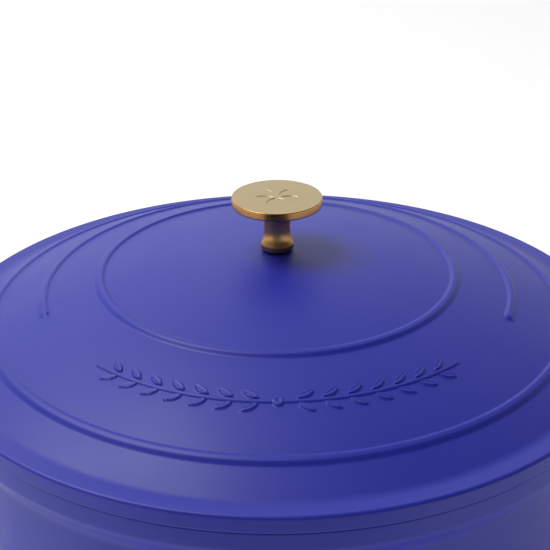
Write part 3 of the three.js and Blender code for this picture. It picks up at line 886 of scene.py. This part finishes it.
# %% Blue enamel
def satin_enamel(name, deep, light, roughness, peel_mm=2.2, peel_depth=0.012):
    material, tree, shader = new_material(name)
    place = add(tree, "ShaderNodeTexCoord").outputs["Object"]
    cloud = add(tree, "ShaderNodeTexNoise", {"Vector": place, "Scale": per_mm(45), "Detail": 3.0})
    grain = add(tree, "ShaderNodeTexNoise", {"Vector": place, "Scale": per_mm(0.7), "Detail": 2.0})
    grains = add(tree, "ShaderNodeMapRange", {
        "Value": grain.outputs["Fac"], "From Min": 0.25, "From Max": 0.75,
        "To Min": -0.18, "To Max": 0.18,
    })
    share = add(tree, "ShaderNodeMath", {
        0: cloud.outputs["Fac"], 1: grains.outputs["Result"],
    }, operation="ADD", use_clamp=True)
    colour = add(tree, "ShaderNodeMix", {
        "Factor": share.outputs[0], 6: linear(deep), 7: linear(light),
    }, data_type="RGBA")
    gloss = add(tree, "ShaderNodeMapRange", {
        "Value": cloud.outputs["Fac"], "From Min": 0.3, "From Max": 0.7,
        "To Min": roughness - 0.03, "To Max": roughness + 0.03,
    })
    peel = add(tree, "ShaderNodeTexNoise", {
        "Vector": place, "Scale": per_mm(peel_mm), "Detail": 2.0, "Roughness": 0.4,
    })
    bump = add(tree, "ShaderNodeBump", {
        "Height": peel.outputs["Fac"], "Strength": 1.0, "Distance": peel_depth / 1000,
    })
    connect(tree, shader, {
        "Base Color": colour.outputs[2], "Roughness": gloss.outputs["Result"],
        "Normal": bump.outputs["Normal"], "IOR": 1.5,
    })
    return material


blue_enamel = satin_enamel("satin_blue_enamel", "#1B24A2", "#2028A8", 0.47)
describe(blue_enamel)

# %% [markdown]
# ## Matt black enamel
#
# The inside is coated with a tougher black enamel, rough enough to hold a film of oil. It has a
# coarser grain and a few pale specks of glass powder, and hardly any mirror-like gloss.

# %% Black enamel
def matt_enamel(name, deep, light, roughness):
    material, tree, shader = new_material(name)
    place = add(tree, "ShaderNodeTexCoord").outputs["Object"]
    speck = add(tree, "ShaderNodeTexVoronoi", {"Vector": place, "Scale": per_mm(1.6)})
    dots = add(tree, "ShaderNodeMapRange", {
        "Value": speck.outputs["Distance"], "From Min": 0.05, "From Max": 0.22,
        "To Min": 1.0, "To Max": 0.0,
    })
    cloud = add(tree, "ShaderNodeTexNoise", {"Vector": place, "Scale": per_mm(12), "Detail": 4.0})
    fade = add(tree, "ShaderNodeMath", {
        0: dots.outputs["Result"], 1: cloud.outputs["Fac"],
    }, operation="MULTIPLY")
    colour = add(tree, "ShaderNodeMix", {
        "Factor": fade.outputs[0], 6: linear(deep), 7: linear(light),
    }, data_type="RGBA")
    grit = add(tree, "ShaderNodeTexNoise", {"Vector": place, "Scale": per_mm(0.8), "Detail": 3.0})
    bump = add(tree, "ShaderNodeBump", {
        "Height": grit.outputs["Fac"], "Strength": 1.0, "Distance": 0.05 / 1000,
    })
    gloss = add(tree, "ShaderNodeMapRange", {
        "Value": cloud.outputs["Fac"], "From Min": 0.3, "From Max": 0.7,
        "To Min": roughness - 0.05, "To Max": roughness + 0.05,
    })
    connect(tree, shader, {
        "Base Color": colour.outputs[2], "Roughness": gloss.outputs["Result"],
        "Normal": bump.outputs["Normal"], "IOR": 1.5,
    })
    return material


black_enamel = matt_enamel("matt_black_enamel", "#161617", "#4A4A4C", 0.6)
describe(black_enamel)

# %% [markdown]
# ## Brass: turned and brushed
#
# The stem and the disc's side are turned on a lathe, so they mirror the studio in soft streaks.
# What is left of the turning is a stack of very fine rings, and they smear reflections up and
# down. An anisotropic gloss does the same when its tangent runs round the knob's axis. The disc's
# side is polished after that, so it is smoother than the stem. Stem and side are one brass, but
# the stem's colour is painted lighter, as painted light, and the side's darker, as painted shade,
# to set how bright each looks under these lights. The disc's top is brushed in straight lines,
# which makes it pale and even. All three are metal: the colour is in the reflection, and the
# default IOR stays.

# %% Brass
def turned_brass(name, warm, pale, roughness, smear):
    material, tree, shader = new_material(name)
    place = add(tree, "ShaderNodeTexCoord").outputs["Object"]
    height = add(tree, "ShaderNodeSeparateXYZ", {"Vector": place}).outputs["Z"]
    rings = add(tree, "ShaderNodeTexNoise", {
        "W": height, "Scale": per_mm(0.16), "Detail": 2.0,
    }, noise_dimensions="1D")
    cloud = add(tree, "ShaderNodeTexNoise", {"Vector": place, "Scale": per_mm(6), "Detail": 2.0})
    colour = add(tree, "ShaderNodeMix", {
        "Factor": cloud.outputs["Fac"], 6: linear(warm), 7: linear(pale),
    }, data_type="RGBA")
    gloss = add(tree, "ShaderNodeMapRange", {
        "Value": rings.outputs["Fac"], "From Min": 0.2, "From Max": 0.8,
        "To Min": roughness - 0.05, "To Max": roughness + 0.05,
    })
    bump = add(tree, "ShaderNodeBump", {
        "Height": rings.outputs["Fac"], "Strength": 0.6, "Distance": 0.004 / 1000,
    })
    round_axis = add(tree, "ShaderNodeTangent", direction_type="RADIAL", axis="Z")
    connect(tree, shader, {
        "Base Color": colour.outputs[2], "Roughness": gloss.outputs["Result"],
        "Normal": bump.outputs["Normal"], "Metallic": 1.0,
        "Tangent": round_axis.outputs["Tangent"], "Anisotropic": smear,
    })
    return material


def brushed_brass(name, warm, pale, roughness):
    material, tree, shader = new_material(name)
    place = add(tree, "ShaderNodeTexCoord").outputs["Object"]
    # Real scratches are about 0.05 mm apart; these are 0.18 mm apart so that they show.
    stretch = add(tree, "ShaderNodeMapping", {
        "Vector": place, "Scale": (per_mm(9), per_mm(0.18), per_mm(9)),
    })
    lines = add(tree, "ShaderNodeTexNoise", {
        "Vector": stretch.outputs["Vector"], "Scale": 1.0, "Detail": 3.0, "Roughness": 0.6,
    })
    cloud = add(tree, "ShaderNodeTexNoise", {"Vector": place, "Scale": per_mm(14), "Detail": 2.0})
    share = add(tree, "ShaderNodeMath", {
        0: lines.outputs["Fac"], 1: cloud.outputs["Fac"],
    }, operation="MULTIPLY")
    colour = add(tree, "ShaderNodeMix", {
        "Factor": share.outputs[0], 6: linear(warm), 7: linear(pale),
    }, data_type="RGBA")
    gloss = add(tree, "ShaderNodeMapRange", {
        "Value": lines.outputs["Fac"], "From Min": 0.25, "From Max": 0.75,
        "To Min": roughness - 0.06, "To Max": roughness + 0.06,
    })
    bump = add(tree, "ShaderNodeBump", {
        "Height": lines.outputs["Fac"], "Strength": 0.5, "Distance": 0.006 / 1000,
    })
    connect(tree, shader, {
        "Base Color": colour.outputs[2], "Roughness": gloss.outputs["Result"],
        "Normal": bump.outputs["Normal"], "Metallic": 1.0,
    })
    return material


# The stem's brass is a lighter copy, painted light, and the disc side's a darker copy, painted
# shade, of the same turned brass.
brass_stem_painted_light = turned_brass("fine_turned_brass_painted_light", "#DBA868", "#E6B577", 0.36, 0.95)
brass_side_painted_shade = turned_brass("polished_turned_brass_painted_shade", "#B48550", "#BE905C", 0.22, 0.8)
brass_brushed = brushed_brass("satin_brushed_brass", "#AA9973", "#B8A681", 0.4)
describe(brass_stem_painted_light, brass_side_painted_shade, brass_brushed)

# %% [markdown]
# ## Stainless steel and rubber
#
# The washers are punched and tumbled stainless steel, and the screw is turned from bar, so it is
# a little shinier and finer. Silicone rubber is matt, with a faint dusty grain.

# %% Steel and rubber
def stainless(name, dark, pale, roughness, grain_mm):
    material, tree, shader = new_material(name)
    place = add(tree, "ShaderNodeTexCoord").outputs["Object"]
    grain = add(tree, "ShaderNodeTexNoise", {
        "Vector": place, "Scale": per_mm(grain_mm), "Detail": 3.0,
    })
    colour = add(tree, "ShaderNodeMix", {
        "Factor": grain.outputs["Fac"], 6: linear(dark), 7: linear(pale),
    }, data_type="RGBA")
    gloss = add(tree, "ShaderNodeMapRange", {
        "Value": grain.outputs["Fac"], "From Min": 0.3, "From Max": 0.7,
        "To Min": roughness - 0.07, "To Max": roughness + 0.07,
    })
    bump = add(tree, "ShaderNodeBump", {
        "Height": grain.outputs["Fac"], "Strength": 0.6, "Distance": 0.01 / 1000,
    })
    connect(tree, shader, {
        "Base Color": colour.outputs[2], "Roughness": gloss.outputs["Result"],
        "Normal": bump.outputs["Normal"], "Metallic": 1.0,
    })
    return material


def silicone_rubber(name, dark, pale):
    material, tree, shader = new_material(name)
    place = add(tree, "ShaderNodeTexCoord").outputs["Object"]
    dust = add(tree, "ShaderNodeTexNoise", {"Vector": place, "Scale": per_mm(0.5), "Detail": 4.0})
    colour = add(tree, "ShaderNodeMix", {
        "Factor": dust.outputs["Fac"], 6: linear(dark), 7: linear(pale),
    }, data_type="RGBA")
    bump = add(tree, "ShaderNodeBump", {
        "Height": dust.outputs["Fac"], "Strength": 0.8, "Distance": 0.02 / 1000,
    })
    connect(tree, shader, {
        "Base Color": colour.outputs[2], "Roughness": 0.7, "Normal": bump.outputs["Normal"],
        "IOR": 1.41,
    })
    return material


steel_tumbled = stainless("tumbled_stainless_steel", "#A9AAAB", "#C9CACB", 0.36, 0.6)
steel_turned = stainless("turned_stainless_steel", "#B4B5B6", "#D2D3D4", 0.26, 0.35)
rubber = silicone_rubber("black_silicone_rubber", "#0E0E0F", "#1C1C1E")
describe(steel_tumbled, steel_turned, rubber)

# %% [markdown]
# ## Give each piece its finish, its body and its node
#
# The lid, the knob and their screw move together when the lid is lifted; the pot stays. Each piece
# stands for one CAD node, whose plain solid it hides, and gets its finishes in its own material
# slots.

# %% Finishes and bodies
pieces = [
    (pot_piece, "pot", "pot_body", "pot_enamel", [blue_enamel, black_enamel]),
    (lid_piece, "lid", "lid", "lid_enamel", [blue_enamel, black_enamel]),
    (stem_piece, "lid", "knob_stem", "knob_turned", [brass_stem_painted_light]),
    (disc_piece, "lid", "knob_disc", "knob_brushed", [brass_side_painted_shade, brass_brushed]),
    (gasket_piece, "lid", "knob_gasket", "gasket_rubber", [rubber]),
    (flat_piece, "lid", "flat_washer", "washer_steel", [steel_tumbled]),
    (lock_piece, "lid", "lock_washer", "washer_steel", [steel_tumbled]),
    (screw_piece, "lid", "knob_screw", "screw_steel", [steel_turned]),
]
for piece, body, node, slot, finishes in pieces:
    for index, finish in enumerate(finishes):
        # A boolean leaves an empty slot behind, which is filled before any is added.
        if index < len(piece.data.materials):
            piece.data.materials[index] = finish
        else:
            piece.data.materials.append(finish)
    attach(piece, body)
    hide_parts(node)
    used = np.zeros(len(piece.data.polygons), np.int32)
    piece.data.polygons.foreach_get("material_index", used)
    print(piece.name, "faces per finish:", np.bincount(used).tolist())

# %% [markdown]
# ## Studio
#
# A pale floor runs far back, so that it is also the background. The surroundings glow from
# behind, from the left and from above, and are dark in front: each of the three grows from nothing
# to its full strength as a direction leans that way. So the edges that face forward are drawn in
# a deeper blue, and the raised ornament stays easy to read. The paper glows a little too, as if
# it were lit from below, which keeps it white.

# %% Floor and surroundings
scene = bpy.context.scene
scene.view_settings.view_transform = "Standard"
scene.view_settings.look = "None"
scene.view_settings.exposure = 0.0

world = bpy.data.worlds.new("white_studio")
scene.world = world
world.use_nodes = True
world.node_tree.nodes.clear()
way = add(world.node_tree, "ShaderNodeTexCoord").outputs["Generated"]
sides = add(world.node_tree, "ShaderNodeSeparateXYZ", {"Vector": way})
FROM_BACK, FROM_LEFT, FROM_ABOVE = 0.8, 0.3, 0.25
glow = 0.0
for side, full, strength in (("Y", 1, FROM_BACK), ("X", -1, FROM_LEFT), ("Z", 1, FROM_ABOVE)):
    share = add(world.node_tree, "ShaderNodeMapRange", {
        "Value": sides.outputs[side], "From Max": full, "To Max": strength,
    })
    glow = add(world.node_tree, "ShaderNodeMath", {0: glow, 1: share.outputs["Result"]}).outputs[0]
sky = add(world.node_tree, "ShaderNodeBackground", {
    "Color": linear("#FFFFFF"), "Strength": glow,
})
add(world.node_tree, "ShaderNodeOutputWorld", {"Surface": sky.outputs["Background"]})


def plane(name, corners, material):
    """A flat stage piece with four corners, in metres."""
    mesh = bpy.data.meshes.new(name)
    mesh.from_pydata(corners, [], [[0, 1, 2, 3]])
    mesh.materials.append(material)
    flat = placed(name, mesh)
    return flat


paper, paper_tree, paper_shader = new_material("white_backdrop_paper")
fibre = add(paper_tree, "ShaderNodeTexNoise", {"Scale": per_mm(3), "Detail": 2.0})
shade = add(paper_tree, "ShaderNodeMix", {
    "Factor": fibre.outputs["Fac"], 6: linear("#F2F2F2"), 7: linear("#F6F6F6"),
}, data_type="RGBA")
connect(paper_tree, paper_shader, {
    "Base Color": shade.outputs[2], "Roughness": 0.9,
    "Emission Color": linear("#FFFFFF"), "Emission Strength": 0.25,
})
floor = plane("floor", [(-4, -4, 0), (4, -4, 0), (4, 6, 0), (-4, 6, 0)], paper)
print("floor", np.array(floor.dimensions)[:2], "m")

# %% [markdown]
# One large soft light hangs high on the left and a weaker, wider one behind. Both are white area
# lights that the camera can't see. Their size sets how soft the knob's shadow is.

# %% Lights
def soft_light(name, at, towards, size, watts):
    """A white area light at a point, aimed at another, of a width and height in metres."""
    lamp = bpy.data.lights.new(name, "AREA")
    lamp.shape, lamp.size, lamp.size_y = "RECTANGLE", size[0], size[1]
    lamp.energy = watts
    light = bpy.data.objects.new(name, lamp)
    light.location = at
    aim = Vector(towards) - Vector(at)
    light.rotation_euler = aim.to_track_quat("-Z", "Y").to_euler()
    light.visible_camera = False
    scene.collection.objects.link(light)
    print(f"{name}: {watts} W, {aim.length:.2f} m away")


knob_at = (0.0, 0.0, KNOB_SEAT / 1000)
soft_light("key_left", (-1.0, 0.1, 1.92), knob_at, (1.1, 1.1), 27)
soft_light("back", (-0.5, 1.8, 1.2), knob_at, (2.0, 1.0), 3.4)

# %% [markdown]
# Polished metal needs something dark to mirror, or it looks like plaster. A black card lies on the
# floor in front of the pot and stands up behind the camera. It is seen only in reflections, and it
# draws the dark streak down the middle of the knob.

# %% Black card
black_cloth, cloth_tree, cloth_shader = new_material("black_cloth")
weave = add(cloth_tree, "ShaderNodeTexNoise", {"Scale": per_mm(4), "Detail": 2.0})
felt = add(cloth_tree, "ShaderNodeMix", {
    "Factor": weave.outputs["Fac"], 6: linear("#050505"), 7: linear("#0B0B0B"),
}, data_type="RGBA")
connect(cloth_tree, cloth_shader, {"Base Color": felt.outputs[2], "Roughness": 1.0})
CARD_LEFT, CARD_RIGHT = math.tan(math.radians(33)), math.tan(math.radians(28))
NEAR, FAR, TALL, LIFT = 0.28, 1.0, 1.6, 0.002
lying = [
    (-NEAR * CARD_LEFT, -NEAR, LIFT), (NEAR * CARD_RIGHT, -NEAR, LIFT),
    (FAR * CARD_RIGHT, -FAR, LIFT), (-FAR * CARD_LEFT, -FAR, LIFT),
]
standing = [
    (-FAR * CARD_LEFT, -FAR, 0.0), (FAR * CARD_RIGHT, -FAR, 0.0),
    (FAR * CARD_RIGHT, -FAR, TALL), (-FAR * CARD_LEFT, -FAR, TALL),
]
for name, corners in (("card_lying", lying), ("card_standing", standing)):
    card = plane(name, corners, black_cloth)
    card.visible_camera = card.visible_diffuse = card.visible_shadow = False
    print(name, "is", round(card.dimensions.x, 2), "m wide")

# %% [markdown]
# ## Camera
#
# A long lens, about 93 mm on a full frame, from half a metre in front and 25 degrees above. It is
# close, so the lid fills the picture and its far edge looks much narrower than its near one. It
# is rolled by half a degree. Blender's own Euler angles would mix that roll with the aim, so the
# camera's three axes are worked out first and turned into angles at the end.

# %% Camera
FOCAL_MM, SENSOR_MM = 92.8, 36
IN_FRONT, ABOVE_KNOB = 0.55907, 0.25388
lens = bpy.data.cameras.new("camera")
lens.lens, lens.sensor_width, lens.sensor_fit = FOCAL_MM, SENSOR_MM, "HORIZONTAL"
lens.clip_start, lens.clip_end = 0.01, 50
camera = bpy.data.objects.new("camera", lens)
camera.location = (0.0, -IN_FRONT, KNOB_SEAT / 1000 + ABOVE_KNOB)
pitch, yaw, roll = math.radians(25.48), math.radians(-0.11), math.radians(-0.45)
forward = Vector((
    math.sin(yaw) * math.cos(pitch), math.cos(yaw) * math.cos(pitch), -math.sin(pitch),
))
aside = forward.cross(Vector((0, 0, 1))).normalized()
upward = aside.cross(forward)
right = math.cos(roll) * aside + math.sin(roll) * upward
over = -math.sin(roll) * aside + math.cos(roll) * upward
axes = np.array([right, over, -forward]).T
camera.rotation_euler = Matrix(axes.tolist()).to_euler()
scene.collection.objects.link(camera)
scene.camera = camera
print("camera at", [round(c, 3) for c in camera.location])

# %% Update the scene
bpy.context.view_layer.update()
